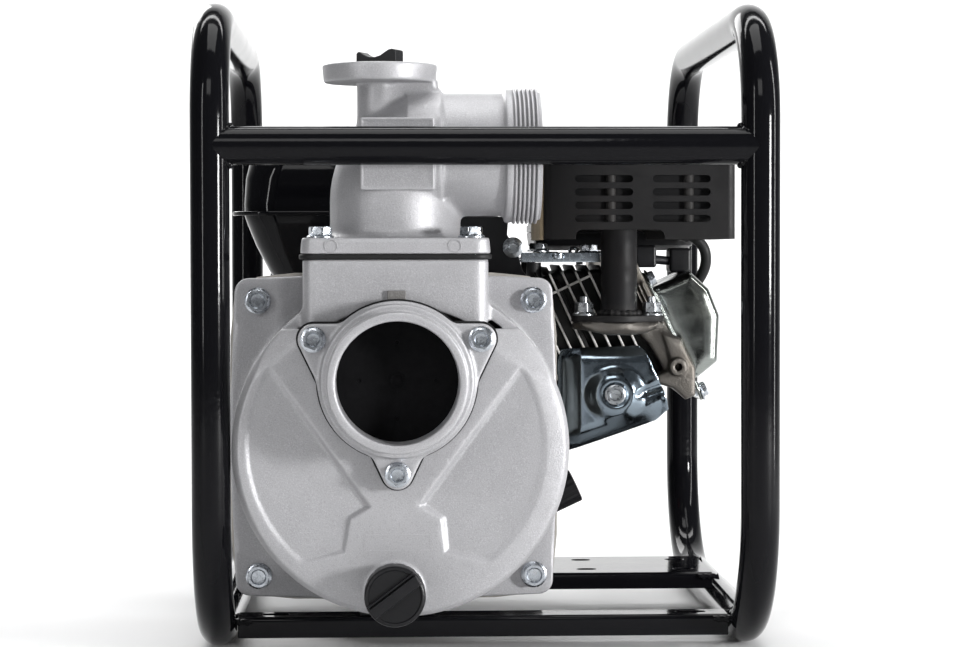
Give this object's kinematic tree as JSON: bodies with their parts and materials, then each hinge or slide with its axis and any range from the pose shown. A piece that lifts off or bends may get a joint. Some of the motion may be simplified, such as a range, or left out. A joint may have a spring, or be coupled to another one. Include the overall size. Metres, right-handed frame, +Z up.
{
  "type": "gas engine trash pump",
  "caption": "Self-priming trash pump with a petrol engine in a black tube frame: threaded suction and discharge ports, filler and drain plugs, recoil starter.",
  "frame": {"origin": "centre of the whole machine's footprint, on the ground", "axes": "+Z up, +Y from the pump towards the recoil starter, so the suction port faces -Y; +X to the right of someone facing the suction port, towards the discharge port's side"},
  "size_m": [0.3806, 0.5094, 0.431],
  "materials": {
    "frame_paint": "gloss black paint on steel tube",
    "pump_paint": "light silver grey paint on a sand casting",
    "cast_aluminium": "bare die casting, matt",
    "dark_casting": "satin black paint on a casting",
    "cast_iron": "as cast",
    "machined_steel": "turned and ground",
    "zinc_plate": "bright zinc plate",
    "polished_steel": "pressed and polished",
    "muffler_paint": "satin charcoal heat paint",
    "tank_paint": "gloss black paint on pressed steel",
    "black_plastic": "moulded, fine texture",
    "rubber": "matt",
    "red_plastic": "moulded",
    "rope": "braided cord"
  },
  "bodies": {
    "machine": {"left_hoop": "frame_paint", "right_hoop": "frame_paint", "front_upper_bar": "frame_paint", "rear_upper_bar": "frame_paint", "front_base_rail": "frame_paint", "engine_base_plate": "frame_paint", "pump_foot_pad": "rubber", "pump_housing": "pump_paint", "suction_flange": "pump_paint", "discharge_elbow": "pump_paint", "discharge_gasket": "rubber", "volute": "cast_iron", "mechanical_seal": "machined_steel", "housing_seal_ring": "rubber", "pump_bracket": "cast_aluminium", "housing_bolt_1": "zinc_plate", "housing_bolt_2": "zinc_plate", "housing_bolt_3": "zinc_plate", "housing_bolt_4": "zinc_plate", "suction_bolt_1": "zinc_plate", "suction_bolt_2": "zinc_plate", "suction_bolt_3": "zinc_plate", "elbow_bolt_1": "zinc_plate", "elbow_bolt_2": "zinc_plate", "crankcase": "dark_casting", "crankcase_side_cover": "cast_aluminium", "cylinder_head": "cast_aluminium", "rocker_cover": "polished_steel", "muffler": "muffler_paint", "muffler_cover": "muffler_paint", "lower_shield": "zinc_plate", "fan_cover": "tank_paint", "recoil_housing": "tank_paint", "fuel_tank": "tank_paint", "carburetor": "cast_aluminium", "air_cleaner_base": "black_plastic", "air_cleaner_cover": "black_plastic", "air_cleaner_knob": "black_plastic", "control_plate": "zinc_plate", "spark_plug_lead": "rubber"},
    "rotor": {"crankshaft": "machined_steel", "impeller": "cast_iron", "flywheel": "cast_iron"},
    "check_valve": {"check_valve_flap": "rubber"},
    "filler_seal": {"filler_cap_seal": "rubber"},
    "filler_closure": {"filler_cap": "black_plastic"},
    "drain_seal": {"drain_plug_seal": "rubber"},
    "drain_closure": {"drain_plug": "black_plastic"},
    "fuel_seal": {"fuel_cap_seal": "rubber"},
    "fuel_closure": {"fuel_cap": "black_plastic"},
    "oil_seal": {"dipstick_seal": "rubber"},
    "oil_stick": {"dipstick": "black_plastic"},
    "throttle": {"throttle_lever": "zinc_plate"},
    "choke": {"choke_lever": "black_plastic"},
    "fuel_valve": {"fuel_valve_lever": "black_plastic"},
    "engine_switch": {"engine_switch_knob": "red_plastic"},
    "starter_grip": {"starter_handle": "black_plastic", "starter_rope": "rope"},
    "starter_reel": {"recoil_reel": "black_plastic"},
    "piston_body": {"piston": "cast_aluminium"}
  },
  "joints": [
    {"name": "rotor_spin", "type": "hinge", "parent": "machine", "child": "rotor", "pos_m": [-0.058, 0, 0.141], "axis": [0, 1, 0], "continuous": true},
    {"name": "flap_swing", "type": "hinge", "parent": "machine", "child": "check_valve", "pos_m": [-0.0577, -0.2167, 0.2222], "axis": [1, 0, 0], "range_deg": [0, 27]},
    {"name": "filler_cap_lift", "type": "slide", "parent": "machine", "child": "filler_seal", "axis": [0, 0, 1], "range_m": [0, 0.0151]},
    {"name": "filler_cap_turn", "type": "hinge", "parent": "filler_seal", "child": "filler_closure", "pos_m": [-0.0685, -0.138, 0.385], "axis": [0, 0, 1], "range_deg": [0, 1800]},
    {"name": "drain_plug_lift", "type": "slide", "parent": "machine", "child": "drain_seal", "axis": [0, -1, 0], "range_m": [0, 0.0201]},
    {"name": "drain_plug_turn", "type": "hinge", "parent": "drain_seal", "child": "drain_closure", "pos_m": [-0.0596, -0.2163, 0.0476], "axis": [0, -1, 0], "range_deg": [0, 2880]},
    {"name": "fuel_cap_lift", "type": "slide", "parent": "machine", "child": "fuel_seal", "axis": [0, 0, 1], "range_m": [0, 0.0121]},
    {"name": "fuel_cap_turn", "type": "hinge", "parent": "fuel_seal", "child": "fuel_closure", "pos_m": [-0.05, 0.05, 0.3573], "axis": [0, 0, 1], "range_deg": [0, 1440]},
    {"name": "dipstick_lift", "type": "slide", "parent": "machine", "child": "oil_seal", "axis": [0.9063, 0, 0.4226], "range_m": [0, 0.0181]},
    {"name": "dipstick_turn", "type": "hinge", "parent": "oil_seal", "child": "oil_stick", "pos_m": [0.047, -0.035, 0.0893], "axis": [0.9063, 0, 0.4226], "range_deg": [0, 2160]},
    {"name": "throttle_swing", "type": "hinge", "parent": "machine", "child": "throttle", "pos_m": [0.056, 0.015, 0.2603], "axis": [0, 0, 1], "range_deg": [-30, 10]},
    {"name": "choke_swing", "type": "hinge", "parent": "machine", "child": "choke", "pos_m": [0.1283, 0.09, 0.235], "axis": [1, 0, 0], "range_deg": [0, 45]},
    {"name": "fuel_valve_swing", "type": "hinge", "parent": "machine", "child": "fuel_valve", "pos_m": [0.1283, 0.085, 0.215], "axis": [1, 0, 0], "range_deg": [-60, 0]},
    {"name": "switch_turn", "type": "hinge", "parent": "machine", "child": "engine_switch", "pos_m": [0.05, 0.1403, 0.203], "axis": [0, 1, 0], "range_deg": [0, 60]},
    {"name": "starter_pull", "type": "slide", "parent": "machine", "child": "starter_grip", "axis": [-1, 0, 0], "range_m": [0, 0.6], "deforming": ["starter_rope"]},
    {"name": "reel_turn", "type": "hinge", "parent": "machine", "child": "starter_reel", "pos_m": [-0.058, 0.154, 0.141], "axis": [0, -1, 0], "range_deg": [0, 900]},
    {"name": "piston_slide", "type": "slide", "parent": "machine", "child": "piston_body", "axis": [0.9063, 0, 0.4226], "range_m": [-0.037, 0.0175]}
  ],
  "couplings": [
    {"joint": "filler_cap_lift", "follows": "filler_cap_turn", "m_per_rad": 0.00047746},
    {"joint": "drain_plug_lift", "follows": "drain_plug_turn", "m_per_rad": 0.00039789},
    {"joint": "fuel_cap_lift", "follows": "fuel_cap_turn", "m_per_rad": 0.00047746},
    {"joint": "dipstick_lift", "follows": "dipstick_turn", "m_per_rad": 0.00047746},
    {"joint": "reel_turn", "follows": "starter_pull", "rad_per_m": 25}
  ]
}
